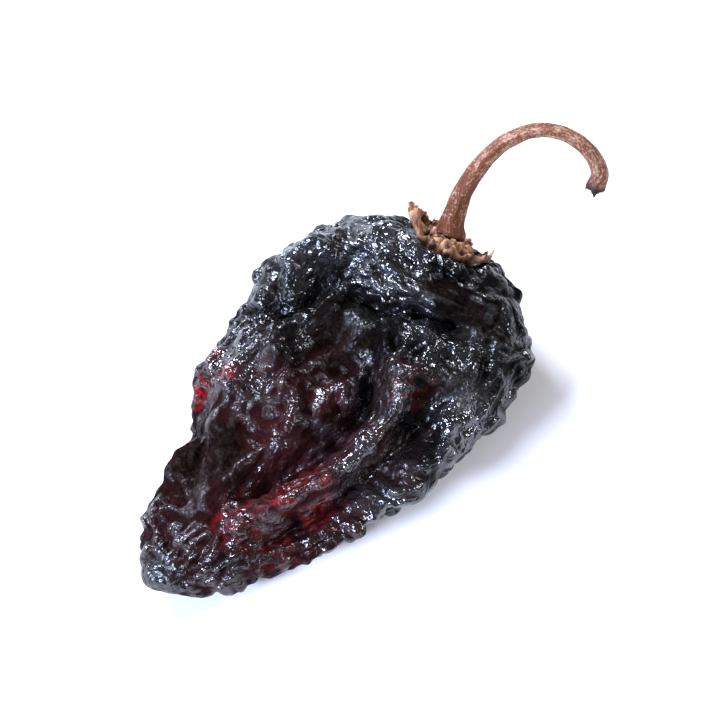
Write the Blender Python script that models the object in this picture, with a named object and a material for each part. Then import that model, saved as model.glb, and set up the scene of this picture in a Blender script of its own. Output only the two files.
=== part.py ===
"""A dried mulato chilli lying on its back: collapsed pod, ragged calyx and hooked woody stem.

The frame: +Y runs along the pod towards its stem, +Z is up, and the origin is the centre of the
flat spot that the pod's belly rests on. Metres.
"""

import math

import bmesh
import bpy
import numpy as np

MM = 0.001

# Driving sizes of the pod
POD_LENGTH = 108 * MM
POD_WIDTH = 70 * MM
POD_DEPTH = 29 * MM
SEAT_RADIUS = 9 * MM
BELLY_TO_SEAT = 42 * MM
AXIS_HEIGHT = 14.6 * MM
TIP_DROP = 5.6 * MM
SHOULDER_TILT = 0.02
CROWN_TILT = math.radians(40)
CROWN_BEND_LENGTH = 26 * MM

# Driving sizes of the calyx and the stem
TOUCH_GAP = 0.3 * MM
CALYX_RADIUS = 8.6 * MM
CALYX_RISE = 4.0 * MM
CALYX_THICKNESS = 1.3 * MM
LEAST_THICKNESS = 0.8 * MM
CALYX_CURL = 60.0
CURL_START = 6.0 * MM
LOBE_START = 5.4 * MM
LOBE_END = 10.6 * MM
STEM_FOOT_RADIUS = 3.9 * MM
STEM_RADIUS = 1.9 * MM
PITH_DEPTH = 0.9 * MM

# Lobes of the calyx: (turn from the right, spread in radians, extra reach, how far it stands up),
# the last two in millimetres
LEFT_FLAP = (2.85, 0.72, 2.8, 4.2)
RIGHT_LOBE = (0.05, 0.40, 1.9, 0.6)

# Waves of the calyx's ragged edge and of the stem's snapped end: (count round it, height in
# millimetres, turn of its start in radians)
EDGE_WAVES = ((5, 0.9, 0.4), (3, 0.6, -1.1), (11, 0.4, 0.0))
SNAPPED_WAVES = ((3, 0.7, 0.8), (7, 0.4, 0.0))

# Ribs of the stem: (count round it, height as a share of the radius, twist in radians)
STEM_RIBS = ((5, 0.055, 2.5), (3, 0.03, -4.0))

# Lumps of crumbled sepal: (height, spacing), and the pile at the front of the stem's foot:
# (height, distance from the middle, width), in millimetres
CRUMBS = (1.3, 3.3)
CRUMB_PILE = (2.2, 6.2, 2.2)

# Mesh density: points round the pod, rings along it, and the same for the calyx and the stem
POD_SIDES = 88
POD_RINGS = 56
CALYX_SIDES = 64
CALYX_RINGS = 14
STEM_SIDES = 16
STEM_RINGS = 58

# The pod's profile from the crown's middle to the tip. Each row is a station: its distance below
# the seat as a share of the pod's length, then its sideways shift and half width as shares of the
# pod's width, then its height above and below the axis as shares of the pod's depth.
POD_PROFILE = (
    (0.000, 0.000, 0.000, 0.000, 0.000),
    (0.000, 0.000, 0.129, 0.295, 0.290),
    (-0.012, 0.000, 0.205, 0.380, 0.345),
    (0.030, 0.000, 0.335, 0.480, 0.410),
    (0.100, 0.006, 0.430, 0.545, 0.440),
    (0.190, -0.006, 0.478, 0.560, 0.430),
    (0.290, -0.008, 0.495, 0.545, 0.420),
    (0.400, -0.026, 0.465, 0.500, 0.400),
    (0.510, -0.038, 0.420, 0.455, 0.375),
    (0.610, -0.056, 0.362, 0.405, 0.340),
    (0.710, -0.050, 0.318, 0.355, 0.305),
    (0.800, -0.080, 0.270, 0.310, 0.270),
    (0.880, -0.120, 0.205, 0.255, 0.220),
    (0.950, -0.152, 0.125, 0.180, 0.150),
    (0.990, -0.166, 0.050, 0.080, 0.065),
    (1.000, -0.168, 0.000, 0.000, 0.000),
)

# Folds that the pod collapsed into. Each is (face, height, half width, route): the face is +1 for
# the top and -1 for the back, a negative height is a crease and a positive one a rounded ridge, and
# the route's points are (across, along from the seat), all in millimetres.
FOLDS = (
    (+1, -8.0, 2.7, ((2.0, -36), (7.4, -46), (7.6, -54), (4.6, -64), (-1.5, -74), (-8, -84))),
    (+1, +5.0, 4.4, ((14.0, -27), (13.2, -41), (12.0, -52), (8.4, -66), (2.0, -80), (-5, -91))),
    (+1, -6.0, 2.7, ((23.0, -37), (20.6, -49), (17.0, -63), (12.0, -77), (4.5, -90))),
    (+1, +3.4, 4.2, ((28.0, -33), (25.0, -48), (20.5, -62), (15.5, -75))),
    (+1, -6.2, 2.8, ((-17.0, -25), (-8.0, -25), (-1.0, -24.5), (5.0, -20), (13.0, -17), (20, -13))),
    (+1, -5.6, 2.7, ((-33.0, -42), (-23.0, -35.5), (-19.5, -27), (-16.5, -17), (-13.5, -7))),
    (+1, +3.6, 4.6, ((-29.0, -30), (-26.0, -22), (-20.0, -12))),
    (+1, -5.6, 7.0, ((-14.0, -34), (-7.0, -39), (1.0, -44))),
    (+1, +4.2, 3.6, ((-23.0, -45), (-13.0, -50), (-6.0, -57), (-5.0, -67))),
    (+1, +3.0, 3.6, ((-27.0, -54), (-22.0, -63), (-17.0, -73))),
    (+1, -1.6, 6.0, ((17.0, -6), (24.0, -13))),
    (+1, -4.0, 2.7, ((-29.0, -60), (-22.0, -74), (-17.0, -92))),
    (-1, -4.8, 3.0, ((-14.0, -10), (-13.0, -30), (-10.0, -52), (-13.0, -76))),
    (-1, -4.4, 2.9, ((11.0, -8), (14.0, -30), (11.0, -56), (1.0, -84))),
    (-1, +2.2, 4.5, ((24.0, -22), (23.0, -44), (15.0, -66))),
    (-1, -3.6, 2.9, ((-31.0, -34), (-21.0, -41), (-9.0, -38))),
    (-1, -3.2, 2.8, ((0.0, -66), (8.0, -71), (19.0, -69))),
)

# Flat spots of the back that the pod rests on: (across, along from the seat, radius), millimetres
REST_SPOTS = (
    (0.0, -42.0, 7.0),
    (-17.0, -28.0, 4.0),
    (18.0, -30.0, 4.0),
    (-9.0, -92.0, 4.0),
)

# Wrinkles of the skin: each is (height, length across it, length along it), in millimetres
PUFFS = (1.35, 9.0, 12.0)
LENGTHWISE_WRINKLES = (1.1, 8.0, 24.0)
CROSSWISE_WRINKLES = (1.0, 7.0, 17.0)
UNDULATION = (2.0, 21.0)
WRINKLE_PATCH = 22.0
SMOOTH_CROWN_RADIUS = 11 * MM
WRINKLED_CROWN_RADIUS = 19 * MM

# The stem's centreline from its foot to its snapped end: across, along and up from the seat's
# middle, in millimetres, and its radius at each point as a share of STEM_RADIUS
STEM_ROUTE = (
    (0.0, 3.3, 2.8, 2.05),
    (-0.8, 5.9, 5.0, 1.55),
    (-1.6, 11.8, 9.2, 1.22),
    (-0.8, 19.2, 13.2, 1.10),
    (1.8, 26.2, 15.8, 1.00),
    (6.8, 32.0, 17.2, 0.94),
    (13.2, 34.6, 17.0, 0.94),
    (19.4, 34.6, 15.2, 0.98),
    (23.6, 32.9, 12.0, 1.08),
    (24.2, 30.2, 8.2, 1.26),
)


def smooth_step(value, low, high):
    share = np.clip((value - low) / (high - low), 0.0, 1.0)
    return share * share * (3.0 - 2.0 * share)


def waves(turn, table):
    """Sum of the table's waves at each turn: rows of count, height and start."""
    return sum(height * np.cos(count * turn + start) for count, height, start in table)


def smooth_curve(points, count):
    """Points evenly spaced along a smooth curve through the given ones."""
    points = np.array(points, float)
    padded = np.vstack([2 * points[0] - points[1], points, 2 * points[-1] - points[-2]])
    dense = []
    for before, start, end, after in zip(padded, padded[1:], padded[2:], padded[3:]):
        for step in np.linspace(0.0, 1.0, 40, endpoint=False):
            dense.append(
                0.5
                * (
                    2 * start
                    + (end - before) * step
                    + (2 * before - 5 * start + 4 * end - after) * step**2
                    + (3 * start - before - 3 * end + after) * step**3
                )
            )
    dense.append(points[-1])
    dense = np.array(dense)
    gaps = np.linalg.norm(np.diff(dense[:, :3], axis=0), axis=1)
    travelled = np.concatenate([[0.0], np.cumsum(gaps)])
    wanted = np.linspace(0.0, travelled[-1], count)
    return np.column_stack([np.interp(wanted, travelled, column) for column in dense.T])


def gradient_noise(points, seed):
    """Smooth noise between about -1 and 1 at each point, with features about one unit across."""
    directions = np.random.default_rng(seed).normal(size=(256, 3))
    directions /= np.linalg.norm(directions, axis=1)[:, None]
    cell = np.floor(points).astype(np.int64)
    inside = points - cell
    fade = inside**3 * (inside * (inside * 6 - 15) + 10)
    total = np.zeros(len(points))
    for corner in np.ndindex(2, 2, 2):
        offset = np.array(corner)
        x, y, z = (cell + offset).T
        slope = directions[(x * 73856093 ^ y * 19349663 ^ z * 83492791) & 255]
        share = np.where(offset == 1, fade, 1 - fade).prod(axis=1)
        total += share * np.einsum("ij,ij->i", slope, inside - offset)
    return total * 1.6


def warped(points, wavelength, strength, seed):
    """The points in units of the wavelength, shifted about so that wrinkles wander and branch."""
    scaled = points / np.array(wavelength)
    shift = [gradient_noise(scaled * 0.6 + turn, seed + turn) for turn in (11, 23, 37)]
    return scaled + strength * np.column_stack(shift)


def crests(points, wavelength, seed):
    """Narrow ridges between wide hollows, from -1 in the hollows to 1 on the ridges."""
    noise = gradient_noise(warped(points, wavelength, 0.45, seed), seed)
    return np.clip(1.0 - 2.2 * np.sqrt(noise**2 + 0.01), -1.0, 1.0)


def puffs(points, wavelength, seed):
    """Rounded swellings parted by narrow creases, from -1 in the creases to about 1."""
    noise = gradient_noise(warped(points, wavelength, 0.6, seed), seed)
    return np.clip(3.2 * np.sqrt(noise**2 + 0.004) - 1.0, -1.0, 1.0)


def pod_base(sides, rings):
    """The pod's smooth form as rings of points round its axis, measured from the seat's middle."""
    scale = np.array([-POD_LENGTH, POD_WIDTH, POD_WIDTH, POD_DEPTH, POD_DEPTH])
    stations = smooth_curve(np.array(POD_PROFILE) * scale, rings + 2)[1:-1]
    turn = np.linspace(0.0, 2 * math.pi, sides, endpoint=False)
    along, shift, half_width, above, below = (column[:, None] for column in stations.T)
    depth = np.where(np.sin(turn) > 0, above, below)
    across = shift + half_width * np.cos(turn)
    near_crown = 1.0 - smooth_step(-along, 0.1 * POD_LENGTH, 0.45 * POD_LENGTH)
    beyond_seat = smooth_step(half_width, SEAT_RADIUS, 2.5 * SEAT_RADIUS)
    along = along + SHOULDER_TILT * across * near_crown * beyond_seat
    up = depth * np.sin(turn) + TIP_DROP * along / POD_LENGTH
    return np.stack([across, along, up + 0 * across], axis=-1)


def grid_normals(grid):
    round_it = np.roll(grid, -1, axis=1) - np.roll(grid, 1, axis=1)
    down_it = np.gradient(grid, axis=0)
    normals = np.cross(round_it, down_it)
    return normals / np.maximum(np.linalg.norm(normals, axis=2, keepdims=True), 1e-12)


def fold_height(flat, route, half_width, height):
    """Height that one fold adds at each (across, along) point, fading towards the route's ends."""
    spine = smooth_curve(route, 28)
    starts, ends = spine[:-1], spine[1:]
    edge = ends - starts
    offset = flat[:, None, :] - starts[None]
    share = np.clip((offset * edge).sum(-1) / (edge**2).sum(-1), 0.0, 1.0)
    distance = np.linalg.norm(offset - share[..., None] * edge, axis=-1)
    nearest = distance.argmin(axis=1)
    picked = np.arange(len(flat))
    distance = distance[picked, nearest]
    travelled = (nearest + share[picked, nearest]) / len(starts)
    taper = smooth_step(travelled, -0.05, 0.22) * (1.0 - smooth_step(travelled, 0.78, 1.05))
    if height < 0:
        groove = np.exp(-((distance / half_width) ** 1.3))
        lips = 0.22 * np.exp(-(((distance - 2.3 * half_width) / half_width) ** 2))
        return taper * height * (groove - lips)
    return taper * height * np.exp(-((distance / half_width) ** 2))


def pod_relief(points, normals):
    """Height to raise each point of the smooth form by: its folds and its larger wrinkles."""
    flat = points[:, :2] / MM
    raised = np.zeros(len(points))
    for face, height, half_width, route in FOLDS:
        on_face = smooth_step(face * normals[:, 2], 0.0, 0.55)
        raised += on_face * fold_height(flat, np.array(route, float), half_width, height)
    spots = points / MM
    height, short, long = PUFFS
    raised += height * puffs(spots, (short, long, short), seed=3)
    height, short, long = LENGTHWISE_WRINKLES
    lengthwise = height * crests(spots, (short, long, short), seed=4)
    height, short, long = CROSSWISE_WRINKLES
    crosswise = height * crests(spots, (long, short, long), seed=7)
    which = smooth_step(gradient_noise(spots / WRINKLE_PATCH, seed=5), -0.25, 0.25)
    raised += lengthwise * (1.0 - which) + crosswise * which
    height, length = UNDULATION
    raised += height * gradient_noise(spots / length, seed=9)
    from_seat = np.linalg.norm(points[:, [0, 2]], axis=1) + 4.0 * np.maximum(-points[:, 1], 0.0)
    free = smooth_step(from_seat, SMOOTH_CROWN_RADIUS, WRINKLED_CROWN_RADIUS)
    near_tip = smooth_step(-points[:, 1], 0.78 * POD_LENGTH, POD_LENGTH)
    return raised * free * (1.0 - 0.6 * near_tip) * MM


def press_on_table(points, normals):
    """Flattens the rest spots at the table's height, and whatever would go below it."""
    below = smooth_step(-normals[:, 2], 0.1, 0.5)
    for across, along, radius in REST_SPOTS:
        distance = np.hypot(points[:, 0] / MM - across, points[:, 1] / MM - along)
        press = below * (1.0 - smooth_step(distance, radius, 2.2 * radius))
        points[:, 2] += press * (-AXIS_HEIGHT - points[:, 2])
    points[:, 2] = np.maximum(points[:, 2], -AXIS_HEIGHT)
    return points


def bend_crown(points):
    """Turns the crown upwards round an arc, so that the seat faces CROWN_TILT above the level."""
    across, along, up = np.moveaxis(points, -1, 0)
    arc_radius = CROWN_BEND_LENGTH / CROWN_TILT
    angle = CROWN_TILT * np.clip(along / CROWN_BEND_LENGTH + 1.0, 0.0, 1.0)
    straight = np.maximum(along, 0.0) + np.minimum(along + CROWN_BEND_LENGTH, 0.0)
    bent_along = arc_radius * np.sin(angle) - CROWN_BEND_LENGTH
    bent_along += straight * np.cos(angle) - up * np.sin(angle)
    bent_up = arc_radius * (1.0 - np.cos(angle)) + straight * np.sin(angle) + up * np.cos(angle)
    return np.stack([across, bent_along, bent_up], axis=-1)


def to_frame(points):
    """Moves points measured from the straight axis's end into the part's frame."""
    return points + np.array([0.0, BELLY_TO_SEAT, AXIS_HEIGHT])


def lofted_object(name, rings, first_pole, last_pole, material):
    """A closed mesh object through rings of points, closed at each end on a pole."""
    count, sides = rings.shape[:2]
    vertices = np.vstack([rings.reshape(-1, 3), first_pole, last_pole])
    first, last = count * sides, count * sides + 1
    faces = []
    for side in range(sides):
        beside = (side + 1) % sides
        faces.append((first, beside, side))
        end = (count - 1) * sides
        faces.append((last, end + side, end + beside))
        for ring in range(count - 1):
            here, there = ring * sides, (ring + 1) * sides
            a, b, c, d = here + side, here + beside, there + beside, there + side
            if np.linalg.norm(vertices[a] - vertices[c]) < np.linalg.norm(vertices[b] - vertices[d]):
                faces += [(a, b, c), (a, c, d)]
            else:
                faces += [(a, b, d), (b, c, d)]
    mesh = bpy.data.meshes.new(name)
    mesh.from_pydata(vertices, [], faces)
    shape = bmesh.new()
    shape.from_mesh(mesh)
    bmesh.ops.recalc_face_normals(shape, faces=shape.faces)
    shape.to_mesh(mesh)
    shape.free()
    mesh.shade_smooth()
    mesh.materials.append(material)
    result = bpy.data.objects.new(name, mesh)
    bpy.context.scene.collection.objects.link(result)
    return result


def surface_material(name, colour, roughness):
    material = bpy.data.materials.new(name)
    material.use_nodes = True
    shader = material.node_tree.nodes["Principled BSDF"]
    shader.inputs["Base Color"].default_value = (*colour, 1.0)
    shader.inputs["Roughness"].default_value = roughness
    shader.inputs["Metallic"].default_value = 0.0
    return material


def make_pod(material):
    grid = pod_base(POD_SIDES, POD_RINGS)
    normals = grid_normals(grid).reshape(-1, 3)
    points = grid.reshape(-1, 3)
    points = points + normals * pod_relief(points, normals)[:, None]
    points = to_frame(press_on_table(bend_crown(points), normals))
    rings = points.reshape(grid.shape)
    seat_middle = to_frame(bend_crown(np.zeros(3)))
    return lofted_object("pod", rings, seat_middle, rings[-1].mean(axis=0), material)


def lobe_share(turn, lobe):
    """How much each turn belongs to a lobe: 1 along its middle and 0 well away from it."""
    middle, spread = lobe[:2]
    away = (turn - middle + math.pi) % (2 * math.pi) - math.pi
    return np.exp(-np.abs(away / spread) ** 3)


def calyx_edge(turn):
    """Radius of the calyx's ragged edge: worn lobes, with a long flap on the left."""
    reach = waves(turn, EDGE_WAVES)
    for lobe in (LEFT_FLAP, RIGHT_LOBE):
        reach = reach + lobe[2] * lobe_share(turn, lobe)
    return CALYX_RADIUS + reach * MM


def calyx_under(radius, turn):
    """Height of the calyx's underside above the seat: flat on the seat, then curling off it."""
    raised = CALYX_CURL * np.maximum(radius - CURL_START, 0.0) ** 2
    for lobe in (LEFT_FLAP, RIGHT_LOBE):
        share = lobe_share(turn, lobe) * smooth_step(radius, LOBE_START, LOBE_END)
        raised = raised + lobe[3] * share * MM
    return TOUCH_GAP + raised


def calyx_upper(radius, turn, low):
    """Height of the calyx's upper side: a hub under the stem's foot, and crumbs around it."""
    hub = 1.0 - smooth_step(radius, 0.9 * STEM_FOOT_RADIUS, 0.95 * CALYX_RADIUS)
    high = low + CALYX_THICKNESS + (CALYX_RISE - CALYX_THICKNESS - TOUCH_GAP) * hub
    spots = np.column_stack([radius * np.cos(turn), high, radius * np.sin(turn)]) / MM
    height, spacing = CRUMBS
    crumbs = height * (puffs(spots, spacing, seed=31) + 0.3)
    height, distance, width = CRUMB_PILE
    in_front = np.maximum(np.sin(turn + 0.3), 0.0)
    crumbs += height * in_front * np.exp(-(((radius / MM - distance) / width) ** 2))
    outside_foot = smooth_step(radius, 1.06 * STEM_FOOT_RADIUS, 1.5 * STEM_FOOT_RADIUS)
    high += outside_foot * crumbs * MM
    return np.maximum(high, low + LEAST_THICKNESS)


def make_calyx(material):
    """The dried cap of sepals: a thin ragged plate that thickens into a crumbly hub."""
    turn = np.linspace(0.0, 2 * math.pi, CALYX_SIDES, endpoint=False)
    under, upper = [], []
    for share in np.linspace(0.0, 1.0, CALYX_RINGS + 1)[1:]:
        radius = calyx_edge(turn) * share
        across, up = radius * np.cos(turn), radius * np.sin(turn)
        low = calyx_under(radius, turn)
        under.append(np.column_stack([across, low, up]))
        upper.append(np.column_stack([across, calyx_upper(radius, turn, low), up]))
    rings = to_frame(bend_crown(np.array(under[1::2] + upper[::-1])))
    first_pole = to_frame(bend_crown(np.array([0.0, TOUCH_GAP, 0.0])))
    last_pole = to_frame(bend_crown(np.array([0.0, CALYX_RISE, 0.0])))
    return lofted_object("calyx", rings, first_pole, last_pole, material)


def make_stem(material):
    """The woody stalk: a ribbed tube along its hooked route, flared at the foot, snapped at the end."""
    stations = smooth_curve(np.array(STEM_ROUTE) * [MM, MM, MM, STEM_RADIUS], STEM_RINGS)
    centre, radius = stations[:, :3] + bend_crown(np.zeros(3)), stations[:, 3]
    heading = np.gradient(centre, axis=0)
    heading[0] = (0.0, math.cos(CROWN_TILT), math.sin(CROWN_TILT))
    heading /= np.linalg.norm(heading, axis=1)[:, None]
    side = np.cross(heading, (0.0, 0.0, 1.0))
    side /= np.linalg.norm(side, axis=1)[:, None]
    over = np.cross(side, heading)
    turn = np.linspace(0.0, 2 * math.pi, STEM_SIDES, endpoint=False)
    share = np.linspace(0.0, 1.0, STEM_RINGS)[:, None]
    ribs = 1.0 + waves(turn, [(count, height, twist * share) for count, height, twist in STEM_RIBS])
    reach = radius[:, None] * ribs
    rings = (
        centre[:, None]
        + (reach * np.cos(turn))[..., None] * side[:, None]
        + (reach * np.sin(turn))[..., None] * over[:, None]
    )
    rings[-1] += MM * waves(turn, SNAPPED_WAVES)[:, None] * heading[-1]
    pith = centre[-1] - PITH_DEPTH * heading[-1]
    return lofted_object("stem", to_frame(rings), to_frame(centre[0]), to_frame(pith), material)


def clear_scene():
    for leftover in list(bpy.data.objects):
        bpy.data.objects.remove(leftover)


def main():
    clear_scene()
    make_pod(surface_material("dried_chilli_skin", (0.018, 0.011, 0.011), 0.3))
    make_calyx(surface_material("dried_sepal", (0.38, 0.19, 0.09), 0.8))
    make_stem(surface_material("woody_stalk", (0.36, 0.16, 0.08), 0.6))


main()
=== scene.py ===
"""The dressed mulato chilli: finely wrinkled glossy pod, crumbly calyx and flecked woody stem."""

import math

import bpy
import numpy as np
from bpy.props import FloatProperty, FloatVectorProperty, IntProperty, PointerProperty
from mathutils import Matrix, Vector


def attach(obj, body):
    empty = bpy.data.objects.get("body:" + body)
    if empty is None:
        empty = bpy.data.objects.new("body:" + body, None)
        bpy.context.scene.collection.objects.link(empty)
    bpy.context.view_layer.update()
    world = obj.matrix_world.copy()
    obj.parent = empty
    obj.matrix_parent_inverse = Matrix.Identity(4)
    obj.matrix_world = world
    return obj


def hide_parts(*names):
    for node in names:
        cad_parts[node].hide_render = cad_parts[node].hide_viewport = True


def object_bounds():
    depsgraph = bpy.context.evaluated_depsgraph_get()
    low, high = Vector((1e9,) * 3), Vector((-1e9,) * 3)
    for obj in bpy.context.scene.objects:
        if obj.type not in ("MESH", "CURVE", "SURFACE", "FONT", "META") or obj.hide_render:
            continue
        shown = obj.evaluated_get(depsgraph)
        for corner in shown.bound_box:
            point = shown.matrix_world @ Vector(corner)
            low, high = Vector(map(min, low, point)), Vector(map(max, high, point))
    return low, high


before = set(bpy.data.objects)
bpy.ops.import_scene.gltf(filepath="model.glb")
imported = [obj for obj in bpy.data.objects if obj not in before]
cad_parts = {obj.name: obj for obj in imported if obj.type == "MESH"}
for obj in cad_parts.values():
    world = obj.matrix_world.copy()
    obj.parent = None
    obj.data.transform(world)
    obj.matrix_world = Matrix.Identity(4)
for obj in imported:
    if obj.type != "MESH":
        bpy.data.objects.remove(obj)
cad_box = [list(corner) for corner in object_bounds()]

bl_info = {
    "name": "Mulato chilli",
    "version": (1, 0, 0),
    "blender": (4, 5, 0),
    "location": "3D View > Sidebar > Chilli",
    "description": "Builds a dried mulato chilli with its calyx, stem and plain stage",
    "category": "Object",
}

MM = 0.001

# The pod's profile from the crown's middle to the tip. Each row is a station: its distance below
# the seat as a share of the pod's length, then its sideways shift and half width as shares of the
# pod's width, then its height above and below the axis as shares of the pod's depth.
POD_PROFILE = (
    (0.000, 0.000, 0.000, 0.000, 0.000),
    (0.000, 0.000, 0.129, 0.295, 0.290),
    (-0.012, 0.000, 0.205, 0.380, 0.345),
    (0.030, 0.000, 0.335, 0.480, 0.410),
    (0.100, 0.006, 0.430, 0.545, 0.440),
    (0.190, -0.006, 0.478, 0.560, 0.430),
    (0.290, -0.008, 0.495, 0.545, 0.420),
    (0.400, -0.026, 0.465, 0.500, 0.400),
    (0.510, -0.038, 0.420, 0.455, 0.375),
    (0.610, -0.056, 0.362, 0.405, 0.340),
    (0.710, -0.050, 0.318, 0.355, 0.305),
    (0.800, -0.080, 0.270, 0.310, 0.270),
    (0.880, -0.120, 0.205, 0.255, 0.220),
    (0.950, -0.152, 0.125, 0.180, 0.150),
    (0.990, -0.166, 0.050, 0.080, 0.065),
    (1.000, -0.168, 0.000, 0.000, 0.000),
)

# Folds that the pod collapsed into. Each is (face, height, half width, route): the face is +1 for
# the top and -1 for the back, a negative height is a crease and a positive one a rounded ridge, and
# the route's points are (across, along from the seat), all in millimetres.
FOLDS = (
    (+1, -8.0, 2.7, ((2.0, -36), (7.4, -46), (7.6, -54), (4.6, -64), (-1.5, -74), (-8, -84))),
    (+1, +5.0, 4.4, ((14.0, -27), (13.2, -41), (12.0, -52), (8.4, -66), (2.0, -80), (-5, -91))),
    (+1, -6.0, 2.7, ((23.0, -37), (20.6, -49), (17.0, -63), (12.0, -77), (4.5, -90))),
    (+1, +3.4, 4.2, ((28.0, -33), (25.0, -48), (20.5, -62), (15.5, -75))),
    (+1, -6.2, 2.8, ((-17.0, -25), (-8.0, -25), (-1.0, -24.5), (5.0, -20), (13.0, -17), (20, -13))),
    (+1, -5.6, 2.7, ((-33.0, -42), (-23.0, -35.5), (-19.5, -27), (-16.5, -17), (-13.5, -7))),
    (+1, +3.6, 4.6, ((-29.0, -30), (-26.0, -22), (-20.0, -12))),
    (+1, -5.6, 7.0, ((-14.0, -34), (-7.0, -39), (1.0, -44))),
    (+1, +4.2, 3.6, ((-23.0, -45), (-13.0, -50), (-6.0, -57), (-5.0, -67))),
    (+1, +3.0, 3.6, ((-27.0, -54), (-22.0, -63), (-17.0, -73))),
    (+1, -1.6, 6.0, ((17.0, -6), (24.0, -13))),
    (+1, -4.0, 2.7, ((-29.0, -60), (-22.0, -74), (-17.0, -92))),
    (-1, -4.8, 3.0, ((-14.0, -10), (-13.0, -30), (-10.0, -52), (-13.0, -76))),
    (-1, -4.4, 2.9, ((11.0, -8), (14.0, -30), (11.0, -56), (1.0, -84))),
    (-1, +2.2, 4.5, ((24.0, -22), (23.0, -44), (15.0, -66))),
    (-1, -3.6, 2.9, ((-31.0, -34), (-21.0, -41), (-9.0, -38))),
    (-1, -3.2, 2.8, ((0.0, -66), (8.0, -71), (19.0, -69))),
)

# Flat spots of the back that the pod rests on: (across, along from the seat, radius), millimetres
REST_SPOTS = (
    (0.0, -42.0, 7.0),
    (-17.0, -28.0, 4.0),
    (18.0, -30.0, 4.0),
    (-9.0, -92.0, 4.0),
)

# Large wrinkles of the skin: each is (height, length across it, length along it), in millimetres
PUFFS = (1.35, 9.0, 12.0)
LENGTHWISE_WRINKLES = (1.1, 8.0, 24.0)
CROSSWISE_WRINKLES = (1.0, 7.0, 17.0)
UNDULATION = (2.0, 21.0)
WRINKLE_PATCH = 22.0
SMOOTH_CROWN_RADIUS = 11 * MM
WRINKLED_CROWN_RADIUS = 19 * MM

# How the skin buckles in large and in small: the slope of its facets, their wavelength in
# millimetres, and the other settings of the crumple function
COARSE_CRUMPLE = {"slope": 0.42, "wavelength": 6.5, "seed": 29, "stride": 2}
FINE_CRUMPLE = {"slope": 0.55, "wavelength": 2.6, "seed": 41, "settling": 14.0, "hold": 0.05}
COARSE_SHARE_OF_CREST = 0.4

# Where it buckles: the distances from the seat where the small crumples start and are full, the
# patches that have more or less of them (size in millimetres, middle share, swing), how much the
# smooth places damp them, and the share of the coarse ones round the sides and over the face
CRUMPLE_START = 8 * MM
CRUMPLE_FULL = 11 * MM
CRUMPLE_PATCHES = (15.0, 0.85, 0.3)
CALM_DAMPING = 0.35
SIDE_SLACK, FACE_SLACK = 0.3, 0.5

# Places where the skin dried thin and shows red: (across, along from the seat, radius, strength),
# the first three in millimetres
RED_SPOTS = (
    (-33.0, -54.0, 3.5, 0.9),
    (-31.0, -62.0, 3.5, 1.0),
    (-24.0, -57.0, 3.0, 0.5),
    (7.0, -69.0, 4.0, 0.6),
    (3.0, -77.0, 4.5, 0.5),
    (12.0, -74.0, 4.0, 0.65),
    (-3.0, -86.0, 6.0, 0.4),
    (9.0, -87.0, 4.5, 0.35),
    (15.0, -38.0, 5.0, 0.3),
)

# Places where the skin's wax is thick and glossy: (across, along from the seat, radius, strength),
# the first three in millimetres
WAXY_SPOTS = (
    (-9.0, -9.0, 13.0, 1.0),
    (-2.0, -13.0, 9.0, 1.0),
    (-22.0, -18.0, 9.0, 0.8),
    (14.0, -22.0, 8.0, 0.7),
    (30.0, -38.0, 9.0, 1.0),
    (14.0, -48.0, 7.0, 0.8),
    (9.5, -58.0, 6.5, 0.8),
    (-24.0, -52.0, 8.0, 0.3),
    (22.0, -62.0, 8.0, 0.8),
)

# Places where the skin lies smooth and matte: (across, along from the seat, radius, strength), the
# first three in millimetres
CALM_SPOTS = (
    (-7.0, -37.0, 7.0, 0.8),
    (18.0, -11.0, 7.0, 0.8),
    (9.0, -9.0, 6.0, 0.6),
    (24.0, -30.0, 5.0, 0.7),
    (-19.0, -77.0, 11.0, 1.0),
    (-25.0, -67.0, 6.0, 0.7),
    (-14.0, -88.0, 6.0, 0.6),
    (-13.0, -60.0, 5.0, 0.5),
    (1.0, -58.0, 5.0, 0.5),
)

# The maroon lower half: its middle, its reach across and along, and the size of the tongues of its
# ragged border, in millimetres
MAROON_MIDDLE = (-4.0, -73.0)
MAROON_REACH = (30.0, 34.0)
MAROON_TONGUE = 9.0

# The stem's centreline from its foot to its snapped end: across, along and up from the seat's
# middle, in millimetres, and its radius at each point as a share of the stem's radius
STEM_ROUTE = (
    (0.0, 3.3, 2.8, 2.05),
    (-0.8, 5.9, 5.0, 1.55),
    (-1.6, 11.8, 9.2, 1.22),
    (-0.8, 19.2, 13.2, 1.10),
    (1.8, 26.2, 15.8, 1.00),
    (6.8, 32.0, 17.2, 0.94),
    (13.2, 34.6, 17.0, 0.94),
    (19.4, 34.6, 15.2, 0.98),
    (23.6, 32.9, 12.0, 1.08),
    (24.2, 30.2, 8.2, 1.26),
)

# Lobes of the calyx: (turn from the right, spread in radians, extra reach, how far it stands up),
# the last two in millimetres
LEFT_FLAP = (2.85, 0.72, 2.8, 4.2)
RIGHT_LOBE = (0.05, 0.40, 1.9, 0.6)

# Waves of the calyx's ragged edge and of the stem's snapped end: (count round it, height in
# millimetres, turn of its start in radians)
EDGE_WAVES = ((5, 0.9, 0.4), (3, 0.6, -1.1), (11, 0.4, 0.0))
SNAPPED_WAVES = ((3, 0.7, 0.8), (7, 0.4, 0.0), (17, 0.3, 0.0))

# Ribs of the stem: (count round it, height as a share of the radius, twist in radians)
STEM_RIBS = ((5, 0.055, 2.5), (3, 0.03, -4.0))

# Lumps of crumbled sepal: (height, spacing), and the pile at the front of the stem's foot:
# (height, distance from the middle, width), in millimetres
CRUMBS = (1.3, 3.3)
CRUMB_PILE = (2.2, 6.2, 2.2)

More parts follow.
